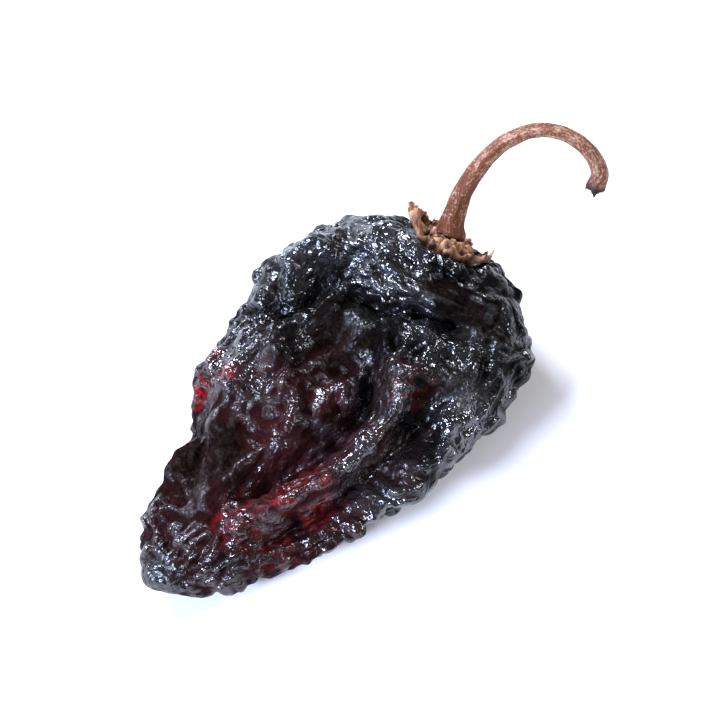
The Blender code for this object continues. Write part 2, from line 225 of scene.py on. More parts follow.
# The fine crumbling of the calyx: how its tissue buckles, how far its edge is worn, and the share
# of each kind of fine crumb, with its size in millimetres where it has one
SEPAL_CRUMPLE = {"slope": 0.8, "wavelength": 2.6, "seed": 33, "least_gap": 0.22, "lean": 0.0}
EDGE_WEAR = 0.5 * MM
SEPAL_BUCKLES = 0.5
SEPAL_KNOBS = (0.4, 1.4)
SEPAL_GRAIN = (0.2, 0.8)
SEPAL_STAINS = 2.2

# Grooves and knots of the bark: (height, width, length), in millimetres
BARK_GROOVES = (0.11, 0.75, 7.0)
BARK_KNOTS = (0.12, 1.6, 2.6)

# Mesh density: rings from the middle of the calyx to its edge and along the stem, and the points
# round each
CALYX_RINGS, CALYX_SIDES = 52, 160
STEM_RINGS, STEM_SIDES = 420, 96

# Heights, distances, gaps and bends that the solids have too
AXIS_HEIGHT = 14.6 * MM
BELLY_TO_SEAT = 42 * MM
SEAT_RADIUS = 9 * MM
TIP_DROP = 5.6 * MM
SHOULDER_TILT = 0.02
CROWN_TILT = math.radians(40)
CROWN_BEND_LENGTH = 26 * MM
TOUCH_GAP = 0.3 * MM
LEAST_THICKNESS = 0.8 * MM
CALYX_CURL = 60.0
CURL_START = 6.0 * MM
LOBE_START = 5.4 * MM
LOBE_END = 10.6 * MM
PITH_DEPTH = 0.9 * MM

# The lights: (name, turn from the camera, elevation, distance, size, power, colour), in degrees,
# metres and watts. The small ones give the white glints, and the wall the grey-blue half-tones.
LIGHTS = (
    ("window", 215, 32, 0.7, (0.2, 0.12), 11.0, "#dde7ff"),
    ("left_window", -50, 30, 0.8, (0.14, 0.16), 10.5, "#d2dfff"),
    ("left_wall", -50, 30, 0.9, (0.5, 0.5), 6.2, "#bfd0ff"),
    ("side_window", 100, 38, 0.7, (0.05, 0.2), 2.8, "#eef0ff"),
)
WORLD_STRENGTH = 0.21
CAMERA_LENS = 185.0
FLOOR_REACH = 3.0
FLOOR_CORNERS = ((-1, -1), (1, -1), (1, 1), (-1, 1))


def linear_colour(text):
    """The linear colour of an sRGB hex value such as "#3b1210"."""
    channels = [int(text[i : i + 2], 16) / 255 for i in (1, 3, 5)]
    return tuple(c / 12.92 if c <= 0.04045 else ((c + 0.055) / 1.055) ** 2.4 for c in channels)


def colour_property(name, description, default):
    return FloatVectorProperty(
        name=name,
        description=description,
        subtype="COLOR",
        size=3,
        min=0.0,
        max=1.0,
        default=linear_colour(default),
    )


def length_property(name, description, default, top=0.3):
    return FloatProperty(
        name=name,
        description=description,
        default=default,
        min=0.0,
        max=top,
        precision=5,
        subtype="DISTANCE",
        unit="LENGTH",
    )


class PodSettings(bpy.types.PropertyGroup):
    """Sizes and colours of the pod."""

    length: length_property("Length", "From the seat of the stem to the tip", 108 * MM)
    width: length_property("Width", "Across the shoulders, before wrinkling", 70 * MM)
    depth: length_property("Depth", "Through the lying pod, before wrinkling", 29 * MM)
    black: colour_property("Skin", "Near-black of thick dried skin", "#090707")
    brown: colour_property("Worn skin", "Dull brown of smooth, matte skin", "#120d0b")
    dust: colour_property("Dust", "Greyish brown specks on matte skin", "#2e211b")
    # The bloom colour is partly painted sheen, a lighter grey-blue laid on the waxy crests
    bloom_and_painted_sheen: colour_property("Bloom", "Faint grey bloom on the thick wax", "#26272c")
    maroon: colour_property("Lower skin", "Dark maroon of the lower half", "#280f10")
    red: colour_property("Thin skin", "Red that shows where the skin is thin", "#98161a")
    sides: IntProperty(name="Sides", description="Points round the pod", default=352, min=24)
    rings: IntProperty(name="Rings", description="Rings along the pod", default=280, min=16)


class CalyxSettings(bpy.types.PropertyGroup):
    """Sizes and colours of the calyx."""

    radius: length_property("Radius", "Middle radius of the ragged edge", 8.6 * MM)
    rise: length_property("Rise", "Height of the hub above the seat", 4.0 * MM)
    thickness: length_property("Thickness", "Thickness of the lobes", 1.3 * MM)
    tan: colour_property("Sepal", "Light tan of the dried sepals", "#bb8b66")
    # The crack colour is partly painted shade, laid in the calyx's cracks and folds by their depth
    brown_and_crack_shade: colour_property("Cracks", "Dark brown in the cracks and folds", "#371b0d")


class StemSettings(bpy.types.PropertyGroup):
    """Sizes and colours of the stem."""

    radius: length_property("Radius", "Radius of the middle stretch", 1.9 * MM)
    foot_radius: length_property("Foot radius", "Radius of the flared foot", 3.9 * MM)
    foot: colour_property("Foot", "Reddish brown of the flared foot", "#5a2908")
    brown: colour_property("Bark", "Lighter brown of the arch", "#6a3a1f")
    fleck: colour_property("Flecks", "Pale tan of the flecks and ribs", "#bf9a7e")
    end: colour_property("Snapped end", "Dark torn fibres at the snapped end", "#2f1408")


class StageSettings(bpy.types.PropertyGroup):
    """The camera, the lights and the floor."""

    azimuth: FloatProperty(
        name="Azimuth",
        description="Camera's direction round the pepper",
        default=math.radians(33),
        subtype="ANGLE",
        unit="ROTATION",
    )
    elevation: FloatProperty(
        name="Elevation",
        description="Camera's height above the level",
        default=math.radians(65),
        subtype="ANGLE",
        unit="ROTATION",
    )
    distance: length_property("Distance", "From the camera to the pepper", 0.88, top=5.0)
    floor: colour_property("Floor", "Pale plain floor", "#f5f2ed")


def smooth_step(value, low, high):
    share = np.clip((value - low) / (high - low), 0.0, 1.0)
    return share * share * (3.0 - 2.0 * share)


def waves(turn, table):
    """Sum of the table's waves at each turn: rows of count, height and start."""
    return sum(height * np.cos(count * turn + start) for count, height, start in table)


def smooth_curve(points, count):
    """Points evenly spaced along a smooth curve through the given ones."""
    points = np.array(points, float)
    padded = np.vstack([2 * points[0] - points[1], points, 2 * points[-1] - points[-2]])
    dense = []
    for before, start, end, after in zip(padded, padded[1:], padded[2:], padded[3:]):
        for step in np.linspace(0.0, 1.0, 40, endpoint=False):
            dense.append(
                0.5
                * (
                    2 * start
                    + (end - before) * step
                    + (2 * before - 5 * start + 4 * end - after) * step**2
                    + (3 * start - before - 3 * end + after) * step**3
                )
            )
    dense.append(points[-1])
    dense = np.array(dense)
    gaps = np.linalg.norm(np.diff(dense[:, :3], axis=0), axis=1)
    travelled = np.concatenate([[0.0], np.cumsum(gaps)])
    wanted = np.linspace(0.0, travelled[-1], count)
    return np.column_stack([np.interp(wanted, travelled, column) for column in dense.T])


def gradient_noise(points, seed):
    """Smooth noise between about -1 and 1 at each point, with features about one unit across."""
    directions = np.random.default_rng(seed).normal(size=(256, 3))
    directions /= np.linalg.norm(directions, axis=1)[:, None]
    cell = np.floor(points).astype(np.int64)
    inside = points - cell
    fade = inside**3 * (inside * (inside * 6 - 15) + 10)
    total = np.zeros(len(points))
    for corner in np.ndindex(2, 2, 2):
        offset = np.array(corner)
        x, y, z = (cell + offset).T
        slope = directions[(x * 73856093 ^ y * 19349663 ^ z * 83492791) & 255]
        share = np.where(offset == 1, fade, 1 - fade).prod(axis=1)
        total += share * np.einsum("ij,ij->i", slope, inside - offset)
    return total * 1.6


def warped(points, wavelength, strength, seed):
    """The points in units of the wavelength, shifted about so that wrinkles wander and branch."""
    scaled = points / np.array(wavelength)
    shift = [gradient_noise(scaled * 0.6 + turn, seed + turn) for turn in (11, 23, 37)]
    return scaled + strength * np.column_stack(shift)


def crests(points, wavelength, seed):
    """Narrow ridges between wide hollows, from -1 in the hollows to 1 on the ridges."""
    noise = gradient_noise(warped(points, wavelength, 0.45, seed), seed)
    return np.clip(1.0 - 2.2 * np.sqrt(noise**2 + 0.01), -1.0, 1.0)


def puffs(points, wavelength, seed):
    """Rounded swellings parted by narrow creases, from -1 in the creases to about 1."""
    noise = gradient_noise(warped(points, wavelength, 0.6, seed), seed)
    return np.clip(3.2 * np.sqrt(noise**2 + 0.004) - 1.0, -1.0, 1.0)


def pod_base(pod):
    """The pod's smooth form as rings of points round its axis, measured from the seat's middle."""
    scale = np.array([-pod.length, pod.width, pod.width, pod.depth, pod.depth])
    stations = smooth_curve(np.array(POD_PROFILE) * scale, pod.rings + 2)[1:-1]
    turn = np.linspace(0.0, 2 * math.pi, pod.sides, endpoint=False)
    along, shift, half_width, above, below = (column[:, None] for column in stations.T)
    depth = np.where(np.sin(turn) > 0, above, below)
    across = shift + half_width * np.cos(turn)
    near_crown = 1.0 - smooth_step(-along, 0.1 * pod.length, 0.45 * pod.length)
    beyond_seat = smooth_step(half_width, SEAT_RADIUS, 2.5 * SEAT_RADIUS)
    along = along + SHOULDER_TILT * across * near_crown * beyond_seat
    up = depth * np.sin(turn) + TIP_DROP * along / pod.length
    return np.stack([across, along, up + 0 * across], axis=-1)


def grid_normals(grid):
    round_it = np.roll(grid, -1, axis=1) - np.roll(grid, 1, axis=1)
    down_it = np.gradient(grid, axis=0)
    normals = np.cross(round_it, down_it)
    return normals / np.maximum(np.linalg.norm(normals, axis=2, keepdims=True), 1e-12)


def fold_height(flat, route, half_width, height):
    """Height that one fold adds at each (across, along) point, fading towards the route's ends."""
    spine = smooth_curve(route, 28)
    starts, ends = spine[:-1], spine[1:]
    edge = ends - starts
    offset = flat[:, None, :] - starts[None]
    share = np.clip((offset * edge).sum(-1) / (edge**2).sum(-1), 0.0, 1.0)
    distance = np.linalg.norm(offset - share[..., None] * edge, axis=-1)
    nearest = distance.argmin(axis=1)
    picked = np.arange(len(flat))
    distance = distance[picked, nearest]
    travelled = (nearest + share[picked, nearest]) / len(starts)
    taper = smooth_step(travelled, -0.05, 0.22) * (1.0 - smooth_step(travelled, 0.78, 1.05))
    if height < 0:
        groove = np.exp(-((distance / half_width) ** 1.3))
        lips = 0.22 * np.exp(-(((distance - 2.3 * half_width) / half_width) ** 2))
        return taper * height * (groove - lips)
    return taper * height * np.exp(-((distance / half_width) ** 2))


def seat_distance(points):
    """Distance from the seat's middle, which grows four times as fast down the pod as across."""
    return np.linalg.norm(points[:, [0, 2]], axis=1) + 4.0 * np.maximum(-points[:, 1], 0.0)


def wrinkle_room(points, pod_length):
    """How freely the skin wrinkles: not at all under the calyx, and less at the tip."""
    free = smooth_step(seat_distance(points), SMOOTH_CROWN_RADIUS, WRINKLED_CROWN_RADIUS)
    near_tip = smooth_step(-points[:, 1], 0.78 * pod_length, pod_length)
    return free * (1.0 - 0.6 * near_tip)


def crumple_room(points, calm, pod_length):
    """How freely the skin crumples: in patches, not under the calyx, and less at the tip."""
    free = smooth_step(seat_distance(points), CRUMPLE_START, CRUMPLE_FULL)
    near_tip = smooth_step(-points[:, 1], 0.9 * pod_length, pod_length)
    size, middle, swing = CRUMPLE_PATCHES
    patches = middle + swing * gradient_noise(points / MM / size, seed=87)
    return free * (1.0 - 0.5 * near_tip) * patches * (1.0 - CALM_DAMPING * calm)


def pod_relief(points, normals, pod_length):
    """Height to raise each point of the smooth form by: its folds and its larger wrinkles."""
    flat = points[:, :2] / MM
    raised = np.zeros(len(points))
    for face, height, half_width, route in FOLDS:
        on_face = smooth_step(face * normals[:, 2], 0.0, 0.55)
        raised += on_face * fold_height(flat, np.array(route, float), half_width, height)
    spots = points / MM
    height, short, long = PUFFS
    raised += height * puffs(spots, (short, long, short), seed=3)
    height, short, long = LENGTHWISE_WRINKLES
    lengthwise = height * crests(spots, (short, long, short), seed=4)
    height, short, long = CROSSWISE_WRINKLES
    crosswise = height * crests(spots, (long, short, long), seed=7)
    which = smooth_step(gradient_noise(spots / WRINKLE_PATCH, seed=5), -0.25, 0.25)
    raised += lengthwise * (1.0 - which) + crosswise * which
    height, length = UNDULATION
    raised += height * gradient_noise(spots / length, seed=9)
    return raised * wrinkle_room(points, pod_length) * MM


def spot_share(points, spots):
    """How much each point belongs to the spots, which have ragged edges."""
    ragged = 0.3 * gradient_noise(points / MM / 5.0, seed=83)
    share = np.zeros(len(points))
    for across, along, radius, strength in spots:
        distance = np.hypot(points[:, 0] / MM - across, points[:, 1] / MM - along) / radius
        share = np.maximum(share, strength * (1.0 - smooth_step(distance + ragged, 0.4, 1.5)))
    return share


def maroon_share(points):
    """How much each point belongs to the maroon lower half, which has a ragged border."""
    reach = (points[:, :2] / MM - MAROON_MIDDLE) / MAROON_REACH
    ragged = 0.35 * gradient_noise(points / MM / MAROON_TONGUE, seed=81)
    return 1.0 - smooth_step(np.hypot(*reach.T) + ragged, 0.55, 1.15)


def crumple(
    rings,
    room,
    slope,
    wavelength,
    seed,
    stride=1,
    least_gap=0.42,
    settling=9.0,
    hold=0.25,
    lean=0.28,
):
    """Height in millimetres of a skin that is too large for the shrunken flesh, so it buckles.

    The surplus skin makes every patch want to stand at the given slope, its stiffness sets the
    wavelength (in millimetres) and rounds the ridges, and the flesh holds it back. The height
    follows the downhill flow of that energy, over every stride-th point of the rings. The longer
    it settles and the looser the hold, the larger and flatter its facets grow. The lean makes the
    wrinkles run lengthwise in some places and crosswise in others.
    """
    coarse = rings[::stride, ::stride] / MM
    free = room[::stride, ::stride]
    least_gap *= stride
    round_gap = np.linalg.norm(np.roll(coarse, -1, axis=1) - coarse, axis=2)
    down_gap = np.linalg.norm(np.diff(coarse, axis=0), axis=2)
    down_gap = np.vstack([down_gap, down_gap[-1:]])
    round_gap, down_gap = np.maximum(round_gap, least_gap), np.maximum(down_gap, least_gap)
    # This stiffness lets the wanted wavelength grow fastest, and the step is near the longest that
    # stays steady on the grid
    stiffness = (slope * wavelength / 8.9) ** 2
    growth = slope**4 / (4 * stiffness)
    step = 1.4 / (stiffness * (8 / least_gap**2) ** 2)
    flat = coarse.reshape(-1, 3)
    turn = smooth_step(gradient_noise(flat / 14.0, seed + 20), -0.3, 0.3).reshape(free.shape)
    pull_round, pull_down = 1 - lean + 2 * lean * turn, 1 + lean - 2 * lean * turn
    surplus = slope**2 * free
    # It starts from lumps of three sizes, so that the facets differ in size
    height = np.zeros(len(flat))
    for size in (0.9, 1.9, 4.1):
        lumps = gradient_noise(warped(flat, size * wavelength, 0.8, seed), seed + round(size))
        height += 0.2 * slope * size * wavelength * lumps
    height = height.reshape(free.shape)

    def divergence(round_flow, down_flow):
        down_flow[-1] = 0.0
        total = (round_flow - np.roll(round_flow, 1, axis=1)) / round_gap
        total[0] += down_flow[0] / down_gap[0]
        total[1:] += (down_flow[1:] - down_flow[:-1]) / down_gap[1:]
        return total

    def slopes(values):
        down = np.zeros_like(values)
        down[:-1] = (values[1:] - values[:-1]) / down_gap[:-1]
        return (np.roll(values, -1, axis=1) - values) / round_gap, down

    for _ in range(int(settling / growth / step)):
        round_slope, down_slope = slopes(height)
        steep_round = 0.5 * (round_slope**2 + np.roll(round_slope, 1, axis=1) ** 2)
        steep_down = down_slope**2
        steep_down[1:] = 0.5 * (steep_down[1:] + steep_down[:-1])
        excess = pull_round * steep_round + pull_down * steep_down - surplus
        between = np.zeros_like(excess)
        between[:-1] = 0.5 * (excess[1:] + excess[:-1])
        flow = divergence(
            pull_round * round_slope * 0.5 * (excess + np.roll(excess, -1, axis=1)),
            pull_down * down_slope * between,
        )
        bend = divergence(*slopes(divergence(round_slope, down_slope)))
        height = height + step * (flow - stiffness * bend - hold * growth * height)
    # The height between the coarse points, at every point of the rings
    row = np.arange(len(rings)) / stride
    column = np.arange(rings.shape[1]) / stride
    below, left = np.minimum(row.astype(int), len(coarse) - 2), column.astype(int)
    down, across = np.minimum(row - below, 1.0)[:, None], (column - left)[None]
    right = (left + 1) % coarse.shape[1]
    upper = height[below][:, left] * (1 - across) + height[below][:, right] * across
    lower = height[below + 1][:, left] * (1 - across) + height[below + 1][:, right] * across
    return upper * (1 - down) + lower * down


def crumple_skin(rings, normals, room):
    """The rings with both crumples added, and how far each point stands up from the skin."""
    outward = grid_normals(rings)
    coarse = crumple(rings, room, **COARSE_CRUMPLE)
    fine = crumple(rings, room, **FINE_CRUMPLE)
    # The skin is drawn tighter round the sides than over the face
    slack = SIDE_SLACK + (FACE_SLACK - SIDE_SLACK) * smooth_step(normals[..., 2], 0.1, 0.5)
    raised = (slack * coarse + fine) * room * MM
    return rings + outward * raised[..., None], fine + COARSE_SHARE_OF_CREST * coarse


def press_on_table(points, normals):
    """Flattens the rest spots at the table's height, and whatever would go below it."""
    below = smooth_step(-normals[:, 2], 0.1, 0.5)
    for across, along, radius in REST_SPOTS:
        distance = np.hypot(points[:, 0] / MM - across, points[:, 1] / MM - along)
        press = below * (1.0 - smooth_step(distance, radius, 2.2 * radius))
        points[:, 2] += press * (-AXIS_HEIGHT - points[:, 2])
    points[:, 2] = np.maximum(points[:, 2], -AXIS_HEIGHT)
    return points


def bend_crown(points):
    """Turns the crown upwards round an arc, so that the seat faces CROWN_TILT above the level."""
    across, along, up = np.moveaxis(points, -1, 0)
    arc_radius = CROWN_BEND_LENGTH / CROWN_TILT
    angle = CROWN_TILT * np.clip(along / CROWN_BEND_LENGTH + 1.0, 0.0, 1.0)
    straight = np.maximum(along, 0.0) + np.minimum(along + CROWN_BEND_LENGTH, 0.0)
    bent_along = arc_radius * np.sin(angle) - CROWN_BEND_LENGTH
    bent_along += straight * np.cos(angle) - up * np.sin(angle)
    bent_up = arc_radius * (1.0 - np.cos(angle)) + straight * np.sin(angle) + up * np.cos(angle)
    return np.stack([across, bent_along, bent_up], axis=-1)


def to_frame(points):
    """Moves points measured from the straight axis's end into the part's frame."""
    return points + np.array([0.0, BELLY_TO_SEAT, AXIS_HEIGHT])


def lofted_piece(name, rings, first_pole, last_pole, material, attributes=None):
    """A closed smooth mesh object through rings of points, closed at each end on a pole."""
    count, sides = rings.shape[:2]
    vertices = np.vstack([rings.reshape(-1, 3), first_pole, last_pole])
    first, last = count * sides, count * sides + 1
    side = np.arange(sides)
    beside = (side + 1) % sides
    ring = (np.arange(count - 1) * sides)[:, None]
    quads = np.stack([ring + side, ring + sides + side, ring + sides + beside, ring + beside], -1)
    end = (count - 1) * sides
    faces = quads.reshape(-1, 4).tolist()
    faces += np.column_stack([np.full(sides, first), side, beside]).tolist()
    faces += np.column_stack([np.full(sides, last), end + beside, end + side]).tolist()
    mesh = bpy.data.meshes.new(name)
    mesh.from_pydata(vertices.tolist(), [], faces)
    if sum((v - first_pole) @ n for v, n in zip(*face_fan(mesh, vertices))) < 0:
        mesh.flip_normals()
    mesh.shade_smooth()
    for label, values in (attributes or {}).items():
        values = np.asarray(values, float)
        kind = "FLOAT" if values.ndim == 1 else "FLOAT_VECTOR"
        poles = np.array([values[:sides].mean(axis=0), values[-sides:].mean(axis=0)])
        values = np.concatenate([values, poles])
        attribute = mesh.attributes.new(label, kind, "POINT")
        attribute.data.foreach_set("value" if kind == "FLOAT" else "vector", values.ravel())
    mesh.materials.append(material)
    piece = bpy.data.objects.new(name, mesh)
    bpy.context.scene.collection.objects.link(piece)
    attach(piece, "root")
    return piece


def face_fan(mesh, vertices):
    """The first corner and the area-weighted normal of each face."""
    corners = np.array([mesh.polygons[i].vertices[0] for i in range(len(mesh.polygons))])
    normals = np.array([p.normal * p.area for p in mesh.polygons])
    return vertices[corners], normals


def add_node(tree, kind, settings=None, links=None):
    """Adds a shader node, sets its properties and inputs, and links its inputs to other outputs."""
    node = tree.nodes.new(kind)
    for key, value in (settings or {}).items():
        if isinstance(key, str) and hasattr(node, key):
            setattr(node, key, value)
        else:
            node.inputs[key].default_value = value
    for key, output in (links or {}).items():
        tree.links.new(output, node.inputs[key])
    return node


def new_material(name):
    material = bpy.data.materials.new(name)
    material.use_nodes = True
    material.node_tree.nodes.clear()
    return material, material.node_tree


def attribute(tree, name):
    return add_node(tree, "ShaderNodeAttribute", {"attribute_name": name}).outputs["Fac"]


def noise(tree, place, scale, detail, roughness=0.5, distortion=0.0):
    """A noise's value from 0 to 1, with the scale in cells to the metre."""
    settings = {
        "Scale": scale,
        "Detail": detail,
        "Roughness": roughness,
        "Distortion": distortion,
    }
    return add_node(tree, "ShaderNodeTexNoise", settings, {"Vector": place}).outputs["Fac"]


def remap(tree, value, low, high, new_low=0.0, new_high=1.0):
    """Moves the values from low to high to between the new ones, and holds the rest there."""
    settings = {"From Min": low, "From Max": high, "To Min": new_low, "To Max": new_high}
    return add_node(tree, "ShaderNodeMapRange", settings, {"Value": value}).outputs["Result"]


def combine(tree, kind, settings, terms):
    """Adds a node whose numbered inputs are either fixed values or other nodes' outputs."""
    links = {}
    for socket, term in terms.items():
        chosen = links if isinstance(term, bpy.types.NodeSocket) else settings
        chosen[socket] = term
    return add_node(tree, kind, settings, links)


def calculate(tree, operation, *terms, clamp=False):
    settings = {"operation": operation, "use_clamp": clamp}
    return combine(tree, "ShaderNodeMath", settings, dict(enumerate(terms))).outputs["Value"]


def blend(tree, share, first, second):
    """Mixes two colours by the share of the second."""
    terms = {0: share, 6: first, 7: second}
    return combine(tree, "ShaderNodeMix", {"data_type": "RGBA"}, terms).outputs[2]


def bump(tree, height, distance, strength=1.0, under=None):
    """Tilts the normals by a height of 0 to 1 over the distance, on top of another bump's."""
    links = {"Height": height} if under is None else {"Height": height, "Normal": under}
    settings = {"Strength": strength, "Distance": distance}
    return add_node(tree, "ShaderNodeBump", settings, links).outputs["Normal"]


def finish_material(tree, settings, links):
    shader = add_node(tree, "ShaderNodeBsdfPrincipled", settings, links)
    add_node(tree, "ShaderNodeOutputMaterial", links={"Surface": shader.outputs["BSDF"]})


def chilli_skin(pod):
    """Air-dried chilli skin: a waxy near-black film over dull brown flesh.

    The wax gives the crests a tight wet gloss, the hollows and the lower sides stay duller, and red
    shows where the skin dried thin.
    """
    material, tree = new_material("air_dried_chilli_skin")
    red, maroon, crest, calm, wax, below = (
        attribute(tree, name) for name in ("thinness", "maroon", "crest", "calm", "wax", "below")
    )
    place = add_node(tree, "ShaderNodeTexCoord").outputs["Object"]
    # Blotches about 5 mm across, flecks about 2 mm, specks about 1 mm and grain about 0.5 mm
    blotch = noise(tree, place, 200.0, 5.0, 0.62)
    fleck = noise(tree, place, 480.0, 3.0, 0.55, 0.6)
    speck = noise(tree, place, 950.0, 4.0, 0.7)
    grain = noise(tree, place, 1900.0, 3.0, 0.65)
    brownness = calculate(tree, "MAXIMUM", remap(tree, blotch, 0.45, 0.7, 0.0, 0.5), calm)
    colour = blend(tree, brownness, (*pod.black, 1), (*pod.brown, 1))
    colour = blend(tree, maroon, colour, (*pod.maroon, 1))
    # Specks of dust lie on the matte places
    dusty = calculate(tree, "MULTIPLY", remap(tree, speck, 0.46, 0.7), calm, clamp=True)
    colour = blend(tree, dusty, colour, (*pod.dust, 1))
    # A faint grey-blue wax bloom on the crests where the wax is thick, partly painted sheen: the
    # lighter colour follows the crests where the glints fall
    bloom_and_painted_sheen_share = calculate(tree, "MULTIPLY", remap(tree, crest, -0.1, 0.35, 0.0, 0.6), wax, clamp=True)
    colour = blend(tree, bloom_and_painted_sheen_share, colour, (*pod.bloom_and_painted_sheen, 1))
    # Red is broken up, so that it shows in flecks and streaks
    broken = remap(tree, fleck, 0.47, 0.66, 0.0, 0.85)
    redness = calculate(tree, "MULTIPLY", red, broken, clamp=True)
    colour = blend(tree, redness, colour, (*pod.red, 1))
    # The crests and the thick wax are polished, the calm places matte, with duller stretches about
    # 12 mm across
    gloss = remap(tree, crest, -0.4, 0.35, 0.3, 0.09)
    gloss = calculate(tree, "MULTIPLY_ADD", calm, 0.28, gloss)
    dullness = remap(tree, noise(tree, place, 85.0, 2.0), 0.42, 0.62, 0.0, 0.16)
    gloss = calculate(tree, "ADD", gloss, dullness)
    gloss = calculate(tree, "MULTIPLY_ADD", wax, -0.12, gloss)
    gloss = calculate(tree, "MULTIPLY_ADD", grain, 0.06, gloss)
    # The hollows and the lower sides are dusty and reflect little, and thick wax reflects most
    shine = remap(tree, crest, -0.35, 0.2, 0.04, 0.54)
    shine = calculate(tree, "MULTIPLY_ADD", wax, 0.7, shine)
    shine = calculate(tree, "MULTIPLY", shine, remap(tree, below, 0.0, 1.0, 1.0, 0.35))
    shine = calculate(tree, "MULTIPLY_ADD", calm, -0.5, shine, clamp=True)
    # Flat facets about 4 mm and 1.5 mm across meet in sharp creases, over the mesh's own ones
    shaken = add_node(
        tree, "ShaderNodeTexNoise", {"Scale": 500.0, "Detail": 2.0}, {"Vector": place}
    ).outputs["Color"]
    shaken = add_node(
        tree,
        "ShaderNodeVectorMath",
        {"operation": "MULTIPLY_ADD", 1: (0.0024, 0.0024, 0.0024)},
        {0: shaken, 2: place},
    ).outputs["Vector"]
    facet, small_facet = (
        add_node(
            tree,
            "ShaderNodeTexVoronoi",
            {"feature": "DISTANCE_TO_EDGE", "Scale": scale},
            {"Vector": shaken},
        ).outputs["Distance"]
        for scale in (270.0, 620.0)
    )
    relief = bump(tree, facet, 0.0011)
    relief = bump(tree, small_facet, 0.0002, under=relief)
    relief = bump(tree, grain, 0.00002, 0.3, under=relief)
    finish_material(
        tree,
        {"Metallic": 0.0, "IOR": 1.56},
        {
            "Base Color": colour,
            "Roughness": gloss,
            "Specular IOR Level": shine,
            "Normal": relief,
        },
    )
    return material


def dried_sepal(calyx):
    """Dried sepal tissue: corky and crumbling, pale on the knobs and deep brown in the cracks,
    which is painted shade.
    """
    material, tree = new_material("dried_sepal")
    place = add_node(tree, "ShaderNodeTexCoord").outputs["Object"]
    # Patches about 1.5 mm across
    patch = noise(tree, place, 650.0, 5.0, 0.65)
    # The crumb heights pale the knobs and deepen the cracks to brown: painted shade, over random
    # patches and the underside's stains
    mixed = calculate(tree, "MULTIPLY_ADD", patch, 0.9, attribute(tree, "crumb"))
    share = remap(tree, mixed, -0.05, 0.75)
    finish_material(
        tree,
        {"Metallic": 0.0, "IOR": 1.45, "Roughness": 0.82},
        {
            "Base Color": blend(tree, share, (*calyx.brown_and_crack_shade, 1), (*calyx.tan, 1)),
            "Normal": bump(tree, patch, 0.0003, 0.8),
        },
    )
    return material


def woody_stalk(stem):
    """Dried green stalk turned woody: satin reddish bark, drawn-out pale flecks, fine ribs."""
    material, tree = new_material("woody_chilli_stalk")
    fibre = add_node(tree, "ShaderNodeAttribute", {"attribute_name": "fibre"}).outputs["Vector"]
    torn, ridge, foot = (attribute(tree, name) for name in ("torn", "ridge", "foot"))
    # Flecks about 0.4 mm wide and 0.7 mm long: the fibre coordinates run lengthwise in Z
    stretched = add_node(
        tree, "ShaderNodeMapping", {"Scale": (2600.0, 2600.0, 1500.0)}, {"Vector": fibre}
    ).outputs["Vector"]
    fleck = noise(tree, stretched, 1.0, 3.0, 0.6)
    # Slow changes of colour about 9 mm long
    slow = noise(tree, fibre, 110.0, 2.0)
    mixed = calculate(tree, "MULTIPLY_ADD", slow, 0.35, fleck)
    # The ridges are worn pale, and the foot has fewer flecks than the arch
    mixed = calculate(tree, "MULTIPLY_ADD", ridge, 0.12, mixed)
    mixed = calculate(tree, "MULTIPLY_ADD", foot, -0.12, mixed)
    share = remap(tree, mixed, 0.6, 0.92)
    colour = blend(tree, foot, (*stem.brown, 1), (*stem.foot, 1))
    colour = blend(tree, share, colour, (*stem.fleck, 1))
    colour = blend(tree, torn, colour, (*stem.end, 1))
    finish_material(
        tree,
        {"Metallic": 0.0, "IOR": 1.48, "Roughness": 0.55, "Specular IOR Level": 0.3},
        {"Base Color": colour, "Normal": bump(tree, fleck, 0.00025, 0.6)},
    )
    return material


class CHILLI_OT_pod(bpy.types.Operator):
    """Build the wrinkled pod"""

    bl_idname = "chilli.pod"
    bl_label = "Pod"

    def execute(self, context):
        pod = context.scene.chilli_pod
        grid = pod_base(pod)
        grid_facing = grid_normals(grid)
        base, normals = grid.reshape(-1, 3), grid_facing.reshape(-1, 3)
        relief = pod_relief(base, normals, pod.length).reshape(grid.shape[:2])
        calm = spot_share(base, CALM_SPOTS) * smooth_step(normals[:, 2], -0.1, 0.3)
        room = crumple_room(base, calm, pod.length).reshape(relief.shape)
        rings = grid + grid_facing * relief[..., None]
        rings, crest = crumple_skin(rings, grid_facing, room)
        points = press_on_table(bend_crown(rings.reshape(-1, 3)), normals)
        rings = to_frame(points).reshape(grid.shape)
        facing_up = smooth_step(normals[:, 2], -0.4, 0.2)
        maroon = maroon_share(base) * (0.35 + 0.65 * facing_up) * (1.0 - 0.9 * calm)
        piece = lofted_piece(
            "pod_skin",
            rings,
            to_frame(bend_crown(np.zeros(3))),
            rings[-1].mean(axis=0),
            chilli_skin(pod),
            {
                "thinness": spot_share(base, RED_SPOTS) * facing_up,
                "maroon": maroon,
                "crest": crest.ravel(),
                "calm": calm,
                "wax": spot_share(base, WAXY_SPOTS),
                "below": 1.0 - smooth_step(normals[:, 2], -0.4, 0.3),
            },
        )
        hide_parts("pod")
        return {"FINISHED"}


def lobe_share(turn, lobe):
    """How much each turn belongs to a lobe: 1 along its middle and 0 well away from it."""
    middle, spread = lobe[:2]
    away = (turn - middle + math.pi) % (2 * math.pi) - math.pi
    return np.exp(-np.abs(away / spread) ** 3)


def calyx_edge(calyx, turn):
    """Radius of the calyx's ragged edge: worn lobes, with a long flap on the left."""
    reach = waves(turn, EDGE_WAVES)
    for lobe in (LEFT_FLAP, RIGHT_LOBE):
        reach = reach + lobe[2] * lobe_share(turn, lobe)
    return calyx.radius + reach * MM


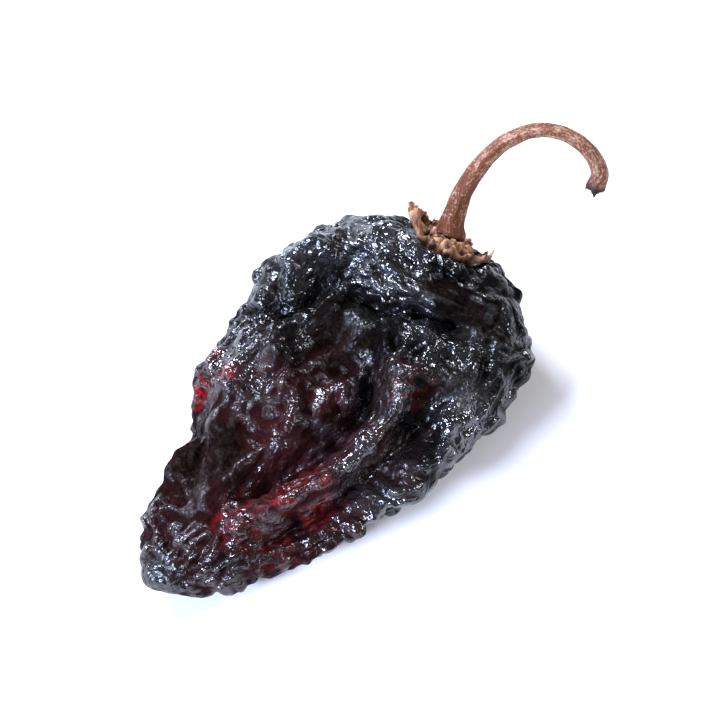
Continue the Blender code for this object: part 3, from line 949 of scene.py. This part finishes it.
def calyx_under(radius, turn):
    """Height of the calyx's underside above the seat: flat on the seat, then curling off it."""
    raised = CALYX_CURL * np.maximum(radius - CURL_START, 0.0) ** 2
    for lobe in (LEFT_FLAP, RIGHT_LOBE):
        share = lobe_share(turn, lobe) * smooth_step(radius, LOBE_START, LOBE_END)
        raised = raised + lobe[3] * share * MM
    return TOUCH_GAP + raised


def outside_foot(radius, foot_radius):
    return smooth_step(radius, 1.02 * foot_radius, 1.32 * foot_radius)


def calyx_upper(calyx, foot_radius, radius, turn, low):
    """Height of the calyx's upper side: a hub under the stem's foot, and crumbs around it."""
    hub = 1.0 - smooth_step(radius, 0.9 * foot_radius, 0.95 * calyx.radius)
    high = low + calyx.thickness + (calyx.rise - calyx.thickness - TOUCH_GAP) * hub
    spots = np.column_stack([radius * np.cos(turn), high, radius * np.sin(turn)]) / MM
    height, spacing = CRUMBS
    crumbs = height * (puffs(spots, spacing, seed=31) + 0.3)
    height, distance, width = CRUMB_PILE
    in_front = np.maximum(np.sin(turn + 0.3), 0.0)
    crumbs += height * in_front * np.exp(-(((radius / MM - distance) / width) ** 2))
    high += outside_foot(radius, foot_radius) * crumbs * MM
    return np.maximum(high, low + LEAST_THICKNESS)


class CHILLI_OT_calyx(bpy.types.Operator):
    """Build the crumbly calyx"""

    bl_idname = "chilli.calyx"
    bl_label = "Calyx"

    def execute(self, context):
        calyx, foot_radius = context.scene.chilli_calyx, context.scene.chilli_stem.foot_radius
        turn = np.linspace(0.0, 2 * math.pi, CALYX_SIDES, endpoint=False)
        circle = np.column_stack([np.cos(turn), np.sin(turn), 0 * turn])
        worn = gradient_noise(circle * 7.0, seed=37) + 0.6 * gradient_noise(circle * 16.0, seed=39)
        edge = calyx_edge(calyx, turn)
        under, upper, room = [], [], []
        for share in np.linspace(0.0, 1.0, CALYX_RINGS + 1)[1:]:
            radius = edge * share + EDGE_WEAR * worn * smooth_step(share, 0.75, 1.0)
            across, up = radius * np.cos(turn), radius * np.sin(turn)
            low = calyx_under(radius, turn)
            high = calyx_upper(calyx, foot_radius, radius, turn, low)
            under.append(np.column_stack([across, low, up]))
            upper.append(np.column_stack([across, high, up]))
            room.append(outside_foot(radius, foot_radius))
        under, upper, room = np.array(under), np.array(upper), np.array(room)
        spots = upper.reshape(-1, 3) / MM
        crumpled = SEPAL_BUCKLES * crumple(upper, room, **SEPAL_CRUMPLE)
        height, size = SEPAL_KNOBS
        crumpled += height * puffs(spots, size, seed=36).reshape(room.shape)
        height, size = SEPAL_GRAIN
        crumpled += height * gradient_noise(spots / size, seed=35).reshape(room.shape)
        outward = grid_normals(upper)
        outward *= np.sign(outward[..., 1:2])
        upper += (crumpled * room * MM)[..., None] * outward
        upper[..., 1] = np.maximum(upper[..., 1], under[..., 1] + 0.5 * LEAST_THICKNESS)
        stain = 0.6 * gradient_noise(under.reshape(-1, 3) / MM / SEPAL_STAINS, seed=38) - 0.25
        stain = stain.reshape(room.shape)
        rings = to_frame(bend_crown(np.concatenate([under, upper[::-1]])))
        piece = lofted_piece(
            "calyx_cap",
            rings,
            to_frame(bend_crown(np.array([0.0, TOUCH_GAP, 0.0]))),
            to_frame(bend_crown(np.array([0.0, calyx.rise, 0.0]))),
            dried_sepal(calyx),
            # The crumb values are stains on the underside and crumple heights on the upper side;
            # the sepal colour turns the heights into painted shade in the cracks
            {"crumb": np.concatenate([stain, crumpled[::-1]]).ravel()},
        )
        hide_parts("calyx")
        return {"FINISHED"}


class CHILLI_OT_stem(bpy.types.Operator):
    """Build the hooked stem"""

    bl_idname = "chilli.stem"
    bl_label = "Stem"

    def execute(self, context):
        stem = context.scene.chilli_stem
        shape = (STEM_RINGS, STEM_SIDES)
        stations = smooth_curve(np.array(STEM_ROUTE) * [MM, MM, MM, stem.radius], STEM_RINGS)
        centre, radius = stations[:, :3] + bend_crown(np.zeros(3)), stations[:, 3]
        heading = np.gradient(centre, axis=0)
        heading[0] = (0.0, math.cos(CROWN_TILT), math.sin(CROWN_TILT))
        heading /= np.linalg.norm(heading, axis=1)[:, None]
        side = np.cross(heading, (0.0, 0.0, 1.0))
        side /= np.linalg.norm(side, axis=1)[:, None]
        over = np.cross(side, heading)
        turn = np.linspace(0.0, 2 * math.pi, STEM_SIDES, endpoint=False)
        share = np.linspace(0.0, 1.0, STEM_RINGS)[:, None]
        travelled = share * np.linalg.norm(np.diff(centre, axis=0), axis=1).sum()
        twisted = [(number, height, twist * share) for number, height, twist in STEM_RIBS]
        ribs = 1.0 + waves(turn, twisted)
        fibre = np.stack(
            [radius[:, None] * np.cos(turn), radius[:, None] * np.sin(turn), travelled + 0 * turn],
            axis=-1,
        ).reshape(-1, 3)
        groove_height, width, length = BARK_GROOVES
        grooves = gradient_noise(fibre / MM / (width, width, length), seed=71).reshape(shape)
        knot_height, width, length = BARK_KNOTS
        knots = gradient_noise(fibre / MM / (width, width, length), seed=73).reshape(shape)
        bark = groove_height * grooves + knot_height * knots
        reach = radius[:, None] * ribs + bark * MM
        rings = (
            centre[:, None]
            + (reach * np.cos(turn))[..., None] * side[:, None]
            + (reach * np.sin(turn))[..., None] * over[:, None]
        )
        rings[-1] += MM * waves(turn, SNAPPED_WAVES)[:, None] * heading[-1]
        pith = centre[-1] - PITH_DEPTH * heading[-1]
        torn = smooth_step(share, 0.955, 0.99) + 0 * turn
        piece = lofted_piece(
            "stem_stalk",
            to_frame(rings),
            to_frame(centre[0]),
            to_frame(pith),
            woody_stalk(stem),
            {
                "fibre": fibre,
                "torn": torn.ravel(),
                "ridge": (grooves + knots).ravel(),
                "foot": (1.0 - smooth_step(travelled, 5 * MM, 24 * MM) + 0 * turn).ravel(),
            },
        )
        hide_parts("stem")
        return {"FINISHED"}


def aim(thing, place, target):
    thing.location = place
    thing.rotation_euler = (Vector(place) - Vector(target)).to_track_quat("Z", "Y").to_euler()


def soft_light(name, place, target, size, power, colour):
    light = bpy.data.lights.new(name, "AREA")
    light.shape = "RECTANGLE"
    light.size, light.size_y = size
    light.energy, light.color = power, linear_colour(colour)
    lamp = bpy.data.objects.new(name, light)
    bpy.context.scene.collection.objects.link(lamp)
    aim(lamp, place, target)


def direction(azimuth, elevation):
    """Unit vector towards a viewer who stands at that azimuth and elevation."""
    level = math.cos(elevation)
    return Vector((math.sin(azimuth) * level, -math.cos(azimuth) * level, math.sin(elevation)))


class CHILLI_OT_stage(bpy.types.Operator):
    """Build the floor, the lights and the camera"""

    bl_idname = "chilli.stage"
    bl_label = "Stage"

    def execute(self, context):
        stage, scene = context.scene.chilli_stage, context.scene
        low, high = (Vector(corner) for corner in cad_box)
        middle = (low + high) / 2
        mesh = bpy.data.meshes.new("studio_floor")
        corners = [(FLOOR_REACH * x, FLOOR_REACH * y, 0) for x, y in FLOOR_CORNERS]
        mesh.from_pydata(corners, [], [(0, 1, 2, 3)])
        floor = bpy.data.objects.new("studio_floor", mesh)
        scene.collection.objects.link(floor)
        material, tree = new_material("matte_studio_paper")
        place = add_node(tree, "ShaderNodeTexCoord").outputs["Object"]
        shade = (*(0.985 * c for c in stage.floor), 1)
        tone = blend(tree, noise(tree, place, 60.0, 2.0), (*stage.floor, 1), shade)
        finish_material(tree, {"Roughness": 0.9}, {"Base Color": tone})
        mesh.materials.append(material)

        camera = bpy.data.cameras.new("camera")
        camera.lens = CAMERA_LENS
        viewer = bpy.data.objects.new("camera", camera)
        scene.collection.objects.link(viewer)
        toward = direction(stage.azimuth, stage.elevation)
        aim(viewer, middle + toward * stage.distance, middle)
        scene.camera = viewer

        for name, turn, elevation, distance, size, power, colour in LIGHTS:
            toward = direction(stage.azimuth + math.radians(turn), math.radians(elevation))
            soft_light(name, middle + toward * distance, middle, size, power, colour)
        world = bpy.data.worlds.new("studio")
        world.use_nodes = True
        background = world.node_tree.nodes["Background"]
        background.inputs["Color"].default_value = (1, 1, 1, 1)
        background.inputs["Strength"].default_value = WORLD_STRENGTH
        scene.world = world
        scene.view_settings.view_transform = "Standard"
        return {"FINISHED"}


class CHILLI_PT_sidebar(bpy.types.Panel):
    """Lists the pepper's pieces with their sizes and colours"""

    bl_label = "Mulato chilli"
    bl_idname = "CHILLI_PT_sidebar"
    bl_space_type = "VIEW_3D"
    bl_region_type = "UI"
    bl_category = "Chilli"

    def draw(self, context):
        for part in ("pod", "calyx", "stem", "stage"):
            settings = getattr(context.scene, "chilli_" + part)
            box = self.layout.box()
            box.operator("chilli." + part)
            for name in type(settings).__annotations__:
                box.prop(settings, name)


CLASSES = (
    PodSettings,
    CalyxSettings,
    StemSettings,
    StageSettings,
    CHILLI_OT_pod,
    CHILLI_OT_calyx,
    CHILLI_OT_stem,
    CHILLI_OT_stage,
    CHILLI_PT_sidebar,
)


def register():
    for each in CLASSES:
        bpy.utils.register_class(each)
    bpy.types.Scene.chilli_pod = PointerProperty(type=PodSettings)
    bpy.types.Scene.chilli_calyx = PointerProperty(type=CalyxSettings)
    bpy.types.Scene.chilli_stem = PointerProperty(type=StemSettings)
    bpy.types.Scene.chilli_stage = PointerProperty(type=StageSettings)


def unregister():
    for name in ("chilli_pod", "chilli_calyx", "chilli_stem", "chilli_stage"):
        delattr(bpy.types.Scene, name)
    for each in reversed(CLASSES):
        bpy.utils.unregister_class(each)


def main():
    register()
    bpy.ops.chilli.pod()
    bpy.ops.chilli.calyx()
    bpy.ops.chilli.stem()
    bpy.ops.chilli.stage()


if __name__ == "__main__":
    main()
